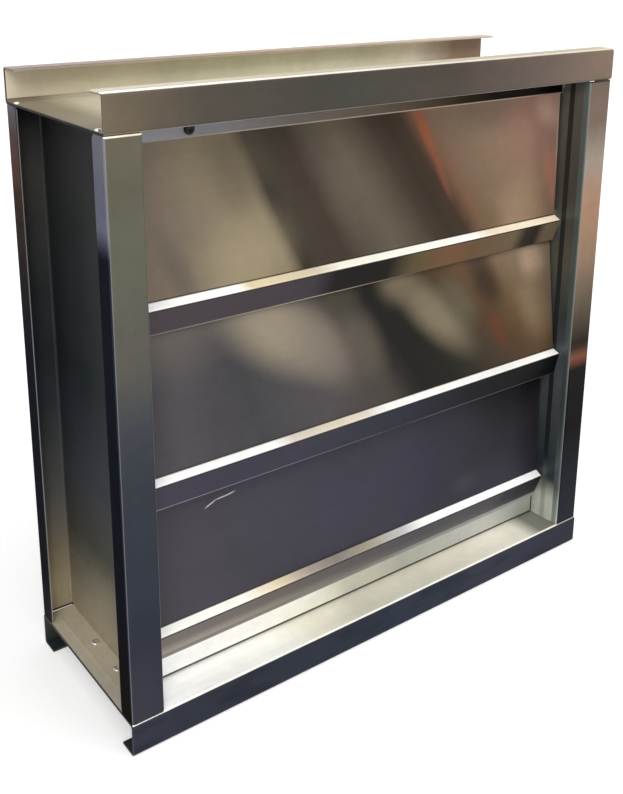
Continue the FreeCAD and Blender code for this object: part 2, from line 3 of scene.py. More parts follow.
import bmesh
import bpy
from mathutils import Euler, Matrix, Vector


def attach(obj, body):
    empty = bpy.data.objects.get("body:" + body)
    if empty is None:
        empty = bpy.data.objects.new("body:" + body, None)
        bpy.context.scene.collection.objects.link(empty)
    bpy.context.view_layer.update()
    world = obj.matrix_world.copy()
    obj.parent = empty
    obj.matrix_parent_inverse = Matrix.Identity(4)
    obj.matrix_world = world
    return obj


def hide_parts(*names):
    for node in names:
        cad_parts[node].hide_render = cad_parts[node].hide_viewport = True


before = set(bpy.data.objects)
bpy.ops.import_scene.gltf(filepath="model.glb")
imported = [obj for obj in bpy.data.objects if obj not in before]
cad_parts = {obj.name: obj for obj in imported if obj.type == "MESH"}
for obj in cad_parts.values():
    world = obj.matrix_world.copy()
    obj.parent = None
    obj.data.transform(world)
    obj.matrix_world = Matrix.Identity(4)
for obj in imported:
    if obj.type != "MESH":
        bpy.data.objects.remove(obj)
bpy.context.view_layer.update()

print("frame loaded:", len(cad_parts), "nodes")


# Node helpers

def tone(code):  # a screen colour as six hex digits, turned into Blender's linear values
    parts = [int(code[i:i + 2], 16) / 255 for i in (0, 2, 4)]
    return tuple(((c + 0.055) / 1.055) ** 2.4 if c > 0.04045 else c / 12.92 for c in parts) + (1.0,)


def addNode(tree, kind, inputs=None, **settings):
    node = tree.nodes.new(kind)
    for key, value in settings.items():
        setattr(node, key, value)
    for key, value in (inputs or {}).items():
        if isinstance(value, bpy.types.NodeSocket):
            tree.links.new(value, node.inputs[key])
        else:
            node.inputs[key].default_value = value
    return node


def calc(tree, operation, *values):
    return addNode(tree, "ShaderNodeMath", dict(enumerate(values)), operation=operation).outputs[0]


def smooth(tree, value, low, high):  # 0 at low, 1 at high
    node = addNode(tree, "ShaderNodeMapRange", {0: value, 1: low, 2: high}, interpolation_type="SMOOTHSTEP")
    return node.outputs[0]


def spread(tree, value, low, high):  # 0..1 turned into low..high
    return addNode(tree, "ShaderNodeMapRange", {0: value, 3: low, 4: high}).outputs[0]


def window(tree, value, low, high, soft):  # 1 between low and high
    return calc(tree, "MULTIPLY", smooth(tree, value, low - soft, low + soft),
                smooth(tree, value, high + soft, high - soft))


def placeMask(tree, axes, where, soft):  # where holds a range for one axis or more
    mask = None
    for axis, (low, high) in where.items():
        part = window(tree, axes[axis], low, high, soft)
        mask = part if mask is None else calc(tree, "MULTIPLY", mask, part)
    return mask


def mixTone(tree, factor, first, second):
    node = addNode(tree, "ShaderNodeMix", {0: factor, 6: first, 7: second}, data_type="RGBA")
    return node.outputs[2]


def toneAlong(tree, value, stops):  # a colour ramp whose stops are given in metres
    low, high = stops[0][0], stops[-1][0]
    share = addNode(tree, "ShaderNodeMapRange", {0: value, 1: low, 2: high}).outputs[0]
    ramp = addNode(tree, "ShaderNodeValToRGB", {0: share})
    elements = ramp.color_ramp.elements
    elements[0].color = tone(stops[0][1])
    elements[1].color = tone(stops[-1][1])
    for place, code in stops[1:-1]:
        elements.new((place - low) / (high - low)).color = tone(code)
    return ramp.outputs[0]


def noise(tree, vector, scale, detail=3.0, roughness=0.5):
    node = addNode(tree, "ShaderNodeTexNoise",
                   {"Vector": vector, "Scale": scale, "Detail": detail, "Roughness": roughness})
    return node.outputs["Fac"]


def stretched(tree, vector, scale):
    return addNode(tree, "ShaderNodeMapping", {"Vector": vector, "Scale": scale}).outputs[0]


def newMaterial(name):
    material = bpy.data.materials.new(name)
    material.use_nodes = True
    tree = material.node_tree
    tree.nodes.clear()
    shader = addNode(tree, "ShaderNodeBsdfPrincipled")
    addNode(tree, "ShaderNodeOutputMaterial", {"Surface": shader.outputs[0]})
    coordinates = addNode(tree, "ShaderNodeTexCoord")
    spot = coordinates.outputs["Object"]
    parts = addNode(tree, "ShaderNodeSeparateXYZ", {0: spot})
    facing = addNode(tree, "ShaderNodeSeparateXYZ", {0: coordinates.outputs["Normal"]})
    axes = {"x": parts.outputs[0], "y": parts.outputs[1], "z": parts.outputs[2], "facingY": facing.outputs[1]}
    return material, tree, shader, spot, axes


# Zinc coated sheet: the piece's own tones, then spangle, handling marks, rolling lines and a slight wave

zincFinish = {
    "metallic": 0.45,
    "roughness": (0.26, 0.42),
    "specular": 0.14,
    "edgeTint": "5c5c5c",
    "spangleScale": 170.0,
    "spangle": 0.025,
    "spangleGloss": 0.04,
    "smudgeScale": 9.0,
    "smudgeContrast": (0.3, 0.7),
    "smudge": 0.10,
    "rollingLines": 0.05,
    "wave": 0.0012,
    "waveScale": 5.0,
    "grain": 0.00003,
    "bump": 0.6,
    "wearWidth": 0.0005,
    "wearStart": (0.985, 0.88),  # how far the surface turns on an edge before it counts as worn
    "wear": 0.2,
    "rubScale": 60.0,
    "rubContrast": (0.38, 0.62),
    "wornTone": "b9b6ae",
}
marksDetail = (5.0, 0.6)  # detail and roughness of the noise behind smudges and mottling
faceSoftness = 0.0003  # how softly one face's tones give way to the next, in metres


def edgeMask(tree, finish):  # 1 on the sharp edges of the piece, 0 on its flats
    rounded = addNode(tree, "ShaderNodeBevel", {"Radius": finish["wearWidth"]}, samples=4)
    flat = addNode(tree, "ShaderNodeNewGeometry")
    match = addNode(tree, "ShaderNodeVectorMath", {0: rounded.outputs[0], 1: flat.outputs["Normal"]},
                    operation="DOT_PRODUCT")
    return smooth(tree, match.outputs["Value"], *finish["wearStart"])


def finishZinc(tree, shader, spot, colour, finish, along):
    cells = addNode(tree, "ShaderNodeTexVoronoi", {"Vector": spot, "Scale": finish["spangleScale"]})
    cell = addNode(tree, "ShaderNodeSeparateColor", {0: cells.outputs["Color"]}).outputs[0]
    shine = spread(tree, cell, 1 - finish["spangle"], 1 + finish["spangle"])
    marks = noise(tree, spot, finish["smudgeScale"], *marksDetail)
    smudged = smooth(tree, marks, *finish["smudgeContrast"])
    dulled = spread(tree, smudged, 1 - finish["smudge"], 1 + finish["smudge"])
    lines = noise(tree, stretched(tree, spot, along), 1.0, 2.0)
    rolled = spread(tree, lines, 1 - finish["rollingLines"], 1 + finish["rollingLines"])
    level = calc(tree, "MULTIPLY", calc(tree, "MULTIPLY", shine, dulled), rolled)
    rubbed = smooth(tree, noise(tree, spot, finish["rubScale"]), *finish["rubContrast"])
    worn = calc(tree, "MULTIPLY", calc(tree, "MULTIPLY", edgeMask(tree, finish), rubbed), finish["wear"])
    colour = mixTone(tree, worn, colour, tone(finish["wornTone"]))
    scaled = addNode(tree, "ShaderNodeVectorMath", {0: colour, "Scale": level}, operation="SCALE").outputs[0]
    tree.links.new(scaled, shader.inputs["Base Color"])
    low, high = finish["roughness"]
    gloss = calc(tree, "ADD", calc(tree, "MULTIPLY", marks, high - low),
                 calc(tree, "MULTIPLY", cell, finish["spangleGloss"]))
    tree.links.new(calc(tree, "ADD", gloss, low), shader.inputs["Roughness"])
    shader.inputs["Metallic"].default_value = finish["metallic"]
    shader.inputs["Specular IOR Level"].default_value = finish["specular"]
    shader.inputs["Specular Tint"].default_value = tone(finish["edgeTint"])
    waves = calc(tree, "MULTIPLY", noise(tree, spot, finish["waveScale"], 1.0), finish["wave"])
    height = calc(tree, "ADD", waves, calc(tree, "MULTIPLY", lines, finish["grain"]))
    bump = addNode(tree, "ShaderNodeBump", {"Height": height, "Distance": 1.0, "Strength": finish["bump"]})
    tree.links.new(bump.outputs[0], shader.inputs["Normal"])


def sheetMaterial(name, look, finish=None):
    # look["faces"]: (where, axis of the ramp, stops) for each painted face, sometimes with a softness
    material, tree, shader, spot, axes = newMaterial(name)
    softness = look.get("soft", faceSoftness)
    if "base" in look:
        colour = look["base"](tree, axes, spot)
    else:
        colour = toneAlong(tree, axes[look["axis"]], look["stops"])
    for addPattern in look.get("patterns", ()):
        colour = addPattern(tree, axes, spot, colour)
    for where, rampAxis, stops, *soft in look["faces"]:
        mask = placeMask(tree, axes, where, soft[0] if soft else softness)
        colour = mixTone(tree, mask, colour, toneAlong(tree, axes[rampAxis], stops))
    for addPattern in look.get("over", ()):
        colour = addPattern(tree, axes, spot, colour)
    finish = {**zincFinish, **(finish or {})}
    finishZinc(tree, shader, spot, colour, finish, look["along"])
    if "otherSheen" in look:  # here the sheet scatters light more evenly, or mirrors it more
        where, metallic = look["otherSheen"]
        there = placeMask(tree, axes, where, softness)
        tree.links.new(spread(tree, there, finish["metallic"], metallic), shader.inputs["Metallic"])
    return material


def dress(nodeName, material):
    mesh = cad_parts[nodeName].data
    if not mesh.materials:
        mesh.materials.append(material)
    for number in range(len(mesh.materials)):
        mesh.materials[number] = material


# Frame channels

acrossLines = (3.0, 260.0, 260.0)  # the rolling lines run along x
uprightLines = (260.0, 260.0, 3.0)
# where a face or an edge lies along one axis, in metres
frontFace = (-0.08, -0.0743)
frontEdge = (-0.08, -0.0735)
rearInside = (0.0725, 0.0738)
topLips = (0.4490, 0.46)
bottomWebTop = (0.0245, 0.03)
bottomEdge = (0.0240, 0.03)
leftEnd = (-0.2262, -0.2244)
leftLips = (-0.23, -0.2243)
rightInside = (0.195, 0.2006)
# painted dark reflections in wavy streaks across the bottom channel's front flange
reflectionStreakLook = {"turn": 0.9, "scale": (14.0, 1.0, 70.0), "range": (0.5, 0.62), "strength": 0.4,
              "tone": "20242d"}


def paintedReflectionStreaks(tree, axes, spot, colour):  # painted wavy dark reflections on the front of the bottom channel
    look = reflectionStreakLook
    turned = addNode(tree, "ShaderNodeMapping",
                     {"Vector": spot, "Rotation": (0, look["turn"], 0), "Scale": look["scale"]}).outputs[0]
    marks = smooth(tree, noise(tree, turned, 1.0, 2.0), *look["range"])
    mask = calc(tree, "MULTIPLY", marks, placeMask(tree, axes, {"y": frontFace}, faceSoftness))
    return mixTone(tree, calc(tree, "MULTIPLY", mask, look["strength"]), colour, tone(look["tone"]))


topLook = {
    "axis": "x", "along": acrossLines, "otherSheen": ({"z": (0.4262, 0.46)}, 0.05),
    "stops": [(-0.225, "b3b1aa"), (0.225, "afada6")],
    "faces": [
        # web from above, in painted light and shade
        ({"z": (0.4262, 0.4285)}, "x",
         [(-0.225, "857a64"), (-0.205, "90866f"), (-0.185, "c6bda5"), (-0.15, "d0c9b3"), (0.0, "c4c2ac"),
          (0.225, "b0a48c")]),
        # rear flange, inside, in painted light, with painted shade at its right end
        ({"y": rearInside, "z": (0.4285, 0.4485)}, "x",
         [(-0.225, "efe2c8"), (-0.05, "dfdabf"), (0.08, "efe8d0"), (0.14, "fbf2dc"), (0.19, "ac937e"),
          (0.225, "8f7a68")]),
        # front lip in painted light, with a painted shade line and a painted highlight along its front edge
        ({"y": (-0.08, -0.058), "z": topLips}, "x",
         [(-0.225, "dcd2b8"), (-0.1, "c9bd9f"), (0.225, "c7b998")]),
        ({"y": (-0.0707, -0.0692), "z": topLips}, "x", [(-0.225, "9d937b"), (0.225, "857a60")]),
        ({"y": (-0.08, -0.0707), "z": topLips}, "x",
         [(-0.225, "ffffff"), (-0.1, "f4ecdb"), (0.225, "e2d6ba")]),
        # rear lip, with painted reflections
        ({"y": (0.058, 0.08), "z": topLips}, "x", [(-0.225, "a5948a"), (-0.05, "b09579"), (0.225, "d9c2ac")]),
        # cut ends of the flanges and of the web, painted dark as shade
        ({"x": leftEnd, "z": (0.4268, 0.4490)}, "y", [(-0.075, "3a3128"), (0.075, "332b24")]),
        ({"x": leftEnd, "z": (0.4230, 0.4268)}, "y", [(-0.075, "1b1c24"), (0.075, "101016")]),
        # front flange, with painted reflections
        ({"y": frontFace}, "x", [(-0.225, "6f6453"), (-0.16, "504a42"), (-0.05, "484640"), (0.05, "504841"),
                                 (0.14, "685b53"), (0.225, "806d5e")]),
    ],
}
bottomLook = {
    "axis": "x", "along": acrossLines, "otherSheen": ({"z": bottomEdge}, 0.05), "over": [paintedReflectionStreaks],
    "stops": [(-0.225, "b0aea8"), (0.225, "abaaa5")],
    "faces": [
        # web from above, and its end outside the left channel, in painted light, with painted shade towards
        # the web's right end
        ({"z": bottomWebTop}, "x",
         [(-0.2, "ffffff"), (-0.1, "fbf9f0"), (-0.06, "e4e1cf"), (-0.02, "c9c5b5"), (0.05, "cac6b5"),
          (0.14, "e4decf"), (0.165, "dad6c7"), (0.182, "78796e")]),
        ({"z": bottomWebTop, "x": (-0.23, -0.2015)}, "y", [(-0.075, "b5ad9e"), (0.075, "ada591")]),
        # front flange in a dark painted reflection, and a painted highlight along its top edge
        ({"y": frontFace}, "x", [(-0.225, "333640"), (-0.1, "333741"), (0.0, "2e3440"), (0.1, "373a46"),
                                 (0.225, "32353f")]),
        ({"y": frontEdge, "z": bottomEdge}, "x", [(-0.225, "fffdf4"), (0.225, "e9e2cc")]),
        # underside and the cut end of the web, painted dark as shade
        ({"y": (-0.0743, 0.0737), "z": (-0.01, 0.0233)}, "x",
         [(-0.225, "33383a"), (-0.19, "484c4c"), (0.225, "6d6d69")]),
        ({"x": leftEnd, "z": (0.0232, 0.0262)}, "y", [(-0.075, "0c0e12"), (0.075, "101318")]),
    ],
}
leftLook = {
    "axis": "z", "along": uprightLines, "otherSheen": ({"x": leftLips}, 0.9),
    "stops": [(0.025, "b0aea8"), (0.424, "a9a8a4")],
    "faces": [
        # web, outside: painted light at its foot, fading into painted shade higher up
        ({"x": (-0.2025, -0.2010)}, "z",
         [(0.026, "b3a993"), (0.06, "8f8775"), (0.1, "57564e"), (0.16, "42474c"), (0.24, "2e3438"),
          (0.424, "3e3e3c")]),
        # rear flange, inside, and the corner beside it: painted light at the foot, painted shade and
        # reflections above
        ({"x": (-0.226, -0.2025), "y": rearInside}, "z",
         [(0.026, "b5ab94"), (0.07, "a49a84"), (0.127, "6e6f6c"), (0.155, "616360"), (0.2, "4a4f53"),
          (0.24, "3e4346"), (0.29, "464849"), (0.378, "61605e"), (0.405, "545352"), (0.424, "232323")]),
        ({"x": (-0.2035, -0.2010), "y": (0.0712, 0.0732)}, "z",
         [(0.03, "a9a190"), (0.12, "55565a"), (0.424, "4c4d4b")]),
        # rear lip, with painted reflections
        ({"x": leftLips, "y": (0.05, 0.08)}, "z",
         [(0.025, "4e4d52"), (0.07, "373740"), (0.12, "303240"), (0.24, "2d3141"), (0.3, "4b484b"),
          (0.35, "675a55"), (0.38, "7e665f"), (0.405, "7f726f"), (0.424, "918b96")]),
        # front lip, a dark bluish painted reflection
        ({"x": leftLips, "y": (-0.08, -0.05)}, "z",
         [(0.025, "2c2a26"), (0.1, "2c2d3a"), (0.2, "2b2f3b"), (0.35, "2d313a"), (0.368, "767785"),
          (0.424, "7c7c84")]),
        # front flange with painted reflections, and a painted highlight on its top edge
        ({"y": frontFace}, "z", [(0.025, "3a3a43"), (0.1, "333741"), (0.2, "393d44"), (0.24, "42454b"),
                                 (0.28, "57554f"), (0.35, "5f5f52"), (0.424, "656052")]),
        ({"y": frontEdge, "z": (0.4237, 0.43)}, "x", [(-0.225, "fff8e6"), (-0.2, "e6dcc2")]),
        # foot tab in painted light, and a painted shade line in the crease behind it
        ({"x": (-0.2235, -0.2025), "y": (-0.0745, 0.0745), "z": (0.0240, 0.0276)}, "y",
         [(-0.07, "d0c7b6"), (0.07, "c6bba4")]),
        ({"x": (-0.2245, -0.2010), "y": (0.0716, 0.0737), "z": (0.0240, 0.0271)}, "x",
         [(-0.2245, "231e14"), (-0.2, "231e14")]),
    ],
}
rightLook = {
    "axis": "z", "along": uprightLines,
    "stops": [(0.025, "b0aea8"), (0.424, "a9a8a4")],
    "faces": [
        # web, inside: painted light at the foot, painted shade and reflections above
        ({"x": rightInside}, "z",
         [(0.025, "f6f9ec"), (0.047, "cfd5c8"), (0.066, "444a4c"), (0.08, "3c4145"), (0.115, "4d5257"),
          (0.16, "61676c"), (0.22, "44494c"), (0.267, "626259"), (0.338, "575852"), (0.424, "6b6c64")]),
        # dark and pale upright reflections ahead of the blades
        ({"x": rightInside, "y": (-0.0595, -0.0545)}, "z",
         [(0.025, "d8dcd0"), (0.047, "b0b6aa"), (0.066, "5a5f60"), (0.09, "2b2f33"), (0.424, "383a34")]),
        ({"x": rightInside, "y": (-0.076, -0.0685)}, "z",
         [(0.025, "b3bab4"), (0.06, "5f6867"), (0.13, "4b5554"), (0.424, "6f7b77")]),
        # front flange with painted reflections, and painted shade on its top edge
        ({"y": frontFace}, "z", [(0.025, "242931"), (0.075, "1c2026"), (0.12, "0d0d0f"), (0.165, "161413"),
                                 (0.175, "1d1714"), (0.186, "774b39"), (0.195, "3a2c22"), (0.2, "29241d"),
                                 (0.24, "675b4d"), (0.28, "937a65"), (0.325, "ac866d"), (0.36, "a09385"),
                                 (0.39, "7d6d60"), (0.424, "726255")]),
        ({"y": frontEdge, "z": (0.4237, 0.43)}, "x", [(0.2, "2e2822"), (0.225, "4a4038")]),
    ],
}
darkEdges = {"specular": 0.05, "edgeTint": "222222"}
for nodeName, look, finish in (("top_channel", topLook, None), ("bottom_channel", bottomLook, None),
                               ("left_channel", leftLook, darkEdges), ("right_channel", rightLook, None)):
    dress(nodeName, sheetMaterial(nodeName + "_zinc", look, finish))
print("frame channels dressed")


# Blades: painted warm smoky reflections run across the upper two, and the lower one carries darker slate
# painted reflections

reflectionLook = {"waverScale": 6.0, "waver": 0.012, "patchCore": 0.15}


def fannedTone(level, lean, fan, stops):
    # straight painted reflections that lean to the left and fan out upwards: the stops are their places at
    # this level
    def fill(tree, axes, spot):
        drift = calc(tree, "SUBTRACT", noise(tree, spot, reflectionLook["waverScale"], 1.0), 0.5)
        waver = calc(tree, "MULTIPLY", drift, reflectionLook["waver"])
        rise = calc(tree, "SUBTRACT", axes["z"], level)
        moved = calc(tree, "ADD", calc(tree, "ADD", axes["x"], waver), calc(tree, "MULTIPLY", rise, lean))
        place = calc(tree, "DIVIDE", moved, calc(tree, "SUBTRACT", 1.0, calc(tree, "MULTIPLY", rise, fan)))
        return toneAlong(tree, place, stops)
    return fill


def turnedAt(tree, spot, x, z, slant):  # coordinates with this place as their middle, turned by the slant
    moved = addNode(tree, "ShaderNodeMapping", {"Vector": spot, "Location": (-x, 0, -z)}).outputs[0]
    return addNode(tree, "ShaderNodeMapping",
                   {"Vector": moved, "Rotation": (0, math.radians(slant), 0)}).outputs[0]


def softPatches(patches):  # painted light, shade and reflection patches: (x, z, half width, half height, slant in degrees, tone, strength)
    def addPatches(tree, axes, spot, colour):
        for x, z, halfWidth, halfHeight, slant, code, strength in patches:
            shrunk = stretched(tree, turnedAt(tree, spot, x, z, slant), (1 / halfWidth, 0, 1 / halfHeight))
            away = addNode(tree, "ShaderNodeVectorMath", {0: shrunk}, operation="LENGTH").outputs["Value"]
            mask = calc(tree, "MULTIPLY", smooth(tree, away, 1.0, reflectionLook["patchCore"]), strength)
            colour = mixTone(tree, mask, colour, tone(code))
        return colour
    return addPatches


def backOfSheet(code):  # the side that faces the duct is plain zinc
    def addBack(tree, axes, spot, colour):
        return mixTone(tree, smooth(tree, axes["facingY"], -0.2, 0.3), colour, tone(code))
    return addBack


def scratches(marks, code):  # (x, z, slant in degrees, half length, half width)
    def addScratches(tree, axes, spot, colour):
        for x, z, slant, halfLength, halfWidth in marks:
            parts = addNode(tree, "ShaderNodeSeparateXYZ", {0: turnedAt(tree, spot, x, z, slant)})
            long = smooth(tree, calc(tree, "ABSOLUTE", parts.outputs[0]), halfLength, halfLength * 0.3)
            thin = smooth(tree, calc(tree, "ABSOLUTE", parts.outputs[2]), halfWidth, 0.0)
            colour = mixTone(tree, calc(tree, "MULTIPLY", long, thin), colour, tone(code))
        return colour
    return addScratches


# fan: level, lean and spread of the painted reflections. patches: painted light and shade, as softPatches
# takes them.
# tip, knee and low: heights of the nose's edge, of its bend and of the hem.
# The stops of skirt, skirtFoot, nose and hemLine lie along x: the skirt's painted reflections, the lowest
# skirt's foot painted lighter, the nose's painted highlight and a painted highlight along the hem
bladeLook = {
    "upper_blade": {
        "fan": (0.310, 0.60, 1.4),
        "stops": [(-0.210, "706557"), (-0.150, "74695c"), (-0.105, "827661"), (-0.075, "847863"),
                  (-0.063, "39362e"), (-0.050, "453e35"), (-0.024, "443b32"), (-0.006, "564e44"),
                  (0.022, "645a4c"), (0.040, "595044"), (0.062, "443a31"), (0.080, "3b3329"),
                  (0.097, "42362c"), (0.106, "5f4737"), (0.115, "745743"), (0.130, "786150"),
                  (0.165, "826d59"), (0.230, "977565")],
        "patches": [(-0.112, 0.322, 0.052, 0.055, 28, "968970", 0.9),
                    (-0.120, 0.392, 0.034, 0.050, 22, "5e5547", 0.62),
                    (0.160, 0.322, 0.070, 0.045, 20, "9b8269", 0.75),
                    (0.110, 0.408, 0.070, 0.030, 0, "6d5f53", 0.6),
                    (-0.165, 0.326, 0.013, 0.050, 25, "60584f", 0.6),
                    (0.205, 0.395, 0.040, 0.060, 10, "b59182", 0.85),
                    (0.197, 0.338, 0.016, 0.048, 22, "cc8a74", 0.7),
                    (0.047, 0.398, 0.0070, 0.045, 28, "985439", 0.65),
                    (0.067, 0.360, 0.005, 0.030, 27, "8c5540", 0.5),
                    (0.120, 0.314, 0.024, 0.028, 20, "66573f", 0.55),
                    (0.192, 0.404, 0.030, 0.024, 0, "e0b8a4", 0.85),
                    (-0.028, 0.360, 0.022, 0.046, 25, "655e50", 0.45)],
        "tip": 0.3064, "knee": 0.3097, "low": 0.28696,
        "skirt": [(-0.198, "4f484c"), (-0.06, "464146"), (-0.040, "252322"), (0.01, "24211d"),
                  (0.035, "60543e"), (0.075, "78573e"), (0.1, "6d563f"), (0.145, "76674f"), (0.158, "3b362d"),
                  (0.172, "39332b"), (0.182, "807059"), (0.198, "8f7c62")],
        "nose": [(-0.198, "ffffff"), (-0.122, "fffffb"), (-0.112, "dccfa8"), (-0.055, "dccfb4"),
                 (-0.035, "fffdea"), (0.1, "fffdf6"), (0.12, "f6e6cc"), (0.198, "fdf1d4")],
        "hemLine": [(-0.198, "7c7874"), (-0.05, "a9a08f"), (0.05, "54503f"), (0.198, "6a5646")],
        "more": [
            # painted highlight along the top edge and a painted light strip at the right end
            ({"z": (0.4152, 0.42)}, "x", [(-0.198, "8f8577"), (0.0, "b8aa96"), (0.198, "b8a08c")]),
            ({"x": (0.1960, 0.2), "z": (0.3117, 0.4165)}, "z",
             [(0.311, "8a6a58"), (0.345, "b8937c"), (0.416, "d3bfb0")]),
        ],
    },
    "middle_blade": {
        "fan": (0.196, 0.56, 3.2),
        "stops": [(-0.210, "424244"), (-0.165, "514d50"), (-0.125, "49474a"), (-0.105, "454547"),
                  (-0.050, "504c4d"), (-0.010, "4c4744"), (0.012, "47433d"), (0.030, "302e2c"),
                  (0.045, "252422"), (0.078, "272622"), (0.100, "322f28"), (0.130, "453b30"),
                  (0.165, "54402d"), (0.205, "67523c"), (0.300, "8a7763")],
        "patches": [(-0.086, 0.268, 0.037, 0.082, 58, "958a77", 0.95),
                    (-0.048, 0.243, 0.030, 0.052, 46, "7c7368", 0.6),
                    (-0.170, 0.292, 0.060, 0.050, 0, "67615a", 0.8),
                    (-0.012, 0.244, 0.024, 0.048, 26, "5f574d", 0.8),
                    (-0.030, 0.286, 0.024, 0.030, 24, "49443a", 0.8),
                    (0.062, 0.250, 0.024, 0.072, 47, "7c725d", 0.95),
                    (0.024, 0.286, 0.026, 0.030, 40, "756a56", 0.8),
                    (0.088, 0.256, 0.018, 0.040, 40, "645d4d", 0.7),
                    (0.119, 0.266, 0.020, 0.044, 32, "3a2f25", 0.9),
                    (0.112, 0.288, 0.024, 0.018, 30, "4a3d31", 0.8),
                    (0.132, 0.222, 0.010, 0.028, 25, "683a2b", 0.6),
                    (0.176, 0.274, 0.022, 0.028, 20, "b09680", 0.95),
                    (0.180, 0.236, 0.030, 0.046, 30, "88735a", 0.85)],
        "tip": 0.1886, "knee": 0.1912, "low": 0.16848,
        "skirt": [(-0.198, "474350"), (-0.05, "3f3f4a"), (0.02, "353540"), (0.08, "24232b"),
                  (0.125, "131317"), (0.198, "0d0d0b")],
        "nose": [(-0.198, "ffffff"), (-0.1, "fffffb"), (-0.082, "d8cec0"), (-0.04, "e0d6bc"),
                 (-0.015, "e6dccf"), (0.005, "fffef8"), (0.198, "fffdf6")],
        "hemLine": [(-0.198, "8a8890"), (-0.02, "6c6a74"), (0.02, "4a4953"), (0.06, "6c6b74"),
                    (0.198, "45444c")],
    },
    "lower_blade": {
        "fan": (0.075, 0.10, 0.0),
        "stops": [(-0.198, "47454a"), (-0.150, "4a474e"), (-0.100, "45434b"), (-0.040, "44424c"),
                  (0.020, "42414b"), (0.070, "3a3943"), (0.120, "333339"), (0.160, "2e2d32"),
                  (0.205, "313035")],
        "patches": [(0.150, 0.070, 0.090, 0.050, 0, "3a3942", 0.85),
                    (0.165, 0.165, 0.080, 0.050, 0, "1c191a", 0.8),
                    (0.108, 0.086, 0.022, 0.012, 0, "47444c", 0.5)],
        "tip": 0.0664, "knee": 0.0697, "low": 0.04696,
        "skirt": [(-0.198, "827a76"), (-0.1, "76706d"), (-0.02, "6f6c6e"), (0.04, "605e63"), (0.14, "58565b"),
                  (0.185, "333238"), (0.198, "2a292f")],
        "skirtFoot": [(-0.198, "b1a79b"), (-0.1, "9f968e"), (-0.02, "878383"), (0.04, "737077"),
                      (0.13, "67666a"), (0.198, "444349")],
        "nose": [(-0.198, "fffef6"), (-0.12, "fbf6ec"), (-0.095, "ecdcba"), (-0.06, "a89d90"),
                 (-0.035, "88827c"), (0.0, "a8a08e"), (0.035, "c4c2c0"), (0.058, "fffefa"),
                 (0.198, "fffffd")],
        "hemLine": [(-0.198, "b9b0a6"), (-0.1, "a89f95"), (0.05, "807c7a"), (0.198, "8d8b88")],
        "scratches": [(-0.1440, 0.1508, 22.0, 0.0060, 0.0009), (-0.1325, 0.1532, 4.0, 0.0105, 0.0008),
                      (-0.1270, 0.1540, 12.0, 0.0050, 0.0004)],
    },
}
bladeFinish = {"metallic": 0.4, "wave": 0.0016, "smudge": 0.06}
# lineUnderTip and lineOverKnee: painted shade lines under the nose's edge and over its bend, in lineTones;
# hemHeight and footHeight: heights of the hem's painted highlight and of the lowest skirt's lighter painted
# foot
foldLook = {
    "softness": 0.0004, "noseMetallic": 0.05, "backTone": "a19f99", "scratchTone": "c9c6c4",
    "belowHem": 0.01, "hemHeight": 0.0011, "footHeight": 0.006,
    "lineUnderTip": 0.0010, "lineOverKnee": 0.0008, "lineTones": [(-0.198, "3a332f"), (0.198, "14110f")],
}
for nodeName, look in bladeLook.items():
    tip, knee, low = look["tip"], look["knee"], look["low"]
    bottom = low - foldLook["belowHem"]
    faces = [({"z": (bottom, tip)}, "x", look["skirt"])]
    if "skirtFoot" in look:
        faces.append(({"z": (bottom, low + foldLook["footHeight"])}, "x", look["skirtFoot"],
                      foldLook["footHeight"]))
    # painted shade lines round the nose, the hem's painted highlight and the nose's painted highlight
    faces += [
        ({"z": (tip - foldLook["lineUnderTip"], tip)}, "x", foldLook["lineTones"]),
        ({"z": (bottom, low + foldLook["hemHeight"])}, "x", look["hemLine"]),
        ({"z": (tip, knee)}, "x", look["nose"]),
        ({"z": (knee, knee + foldLook["lineOverKnee"])}, "x", foldLook["lineTones"]),
    ] + look.get("more", [])
    sheetLook = {
        "base": fannedTone(*look["fan"], look["stops"]), "along": acrossLines, "soft": foldLook["softness"],
        "otherSheen": ({"z": (tip, knee)}, foldLook["noseMetallic"]), "faces": faces,
        "patterns": [softPatches(look["patches"]),
                     scratches(look.get("scratches", ()), foldLook["scratchTone"]),
                     backOfSheet(foldLook["backTone"])],
    }
    dress(nodeName, sheetMaterial(nodeName + "_zinc", sheetLook, bladeFinish))
print("blades dressed")


# Stops behind the lowest skirt and ahead of the top edge

stopFinish = {"metallic": 0.3}
stopLook = {
    "sill_stop": {
        "axis": "x", "along": acrossLines,
        # painted light: white at the left, greyer towards the right
        "stops": [(-0.198, "ffffff"), (-0.07, "fdfbf0"), (-0.02, "cdcbb9"), (0.04, "afafa5"),
                  (0.14, "b9bbb5"), (0.198, "9c9d93")],
        # painted shade at the right end, the lip's painted shadow along the top edge and a painted shadow
        # line at its foot
        "faces": [({"x": (0.1964, 0.1985)}, "z", [(0.025, "34372f"), (0.056, "2b2d28")]),
                  ({"z": (0.0420, 0.0570)}, "x", [(-0.198, "8f8a84"), (0.0, "8b8a84"), (0.198, "a5a49d")]),
                  ({"z": (0.0240, 0.0276)}, "x", [(-0.198, "575246"), (0.198, "494740")])],
    },
    "header_stop": {
        "axis": "x", "along": acrossLines,
        # painted shade, darkening to near black towards the right end
        "stops": [(-0.198, "98989d"), (-0.15, "85858a"), (-0.11, "7c7876"), (-0.055, "70675e"),
                  (0.0, "665a4e"), (0.04, "554a3d"), (0.085, "302818"), (0.12, "150d0a"), (0.198, "0a0707")],
        # painted highlight along its lower edge
        "faces": [({"z": (0.4120, 0.4138)}, "x",
                   [(-0.198, "8f8a84"), (-0.1, "a89c8c"), (0.1, "b8a890"), (0.198, "b49a89")])],
    },
}
for nodeName, look in stopLook.items():
    dress(nodeName, sheetMaterial(nodeName + "_zinc", look, stopFinish))
print("stops dressed")


# Small hardware

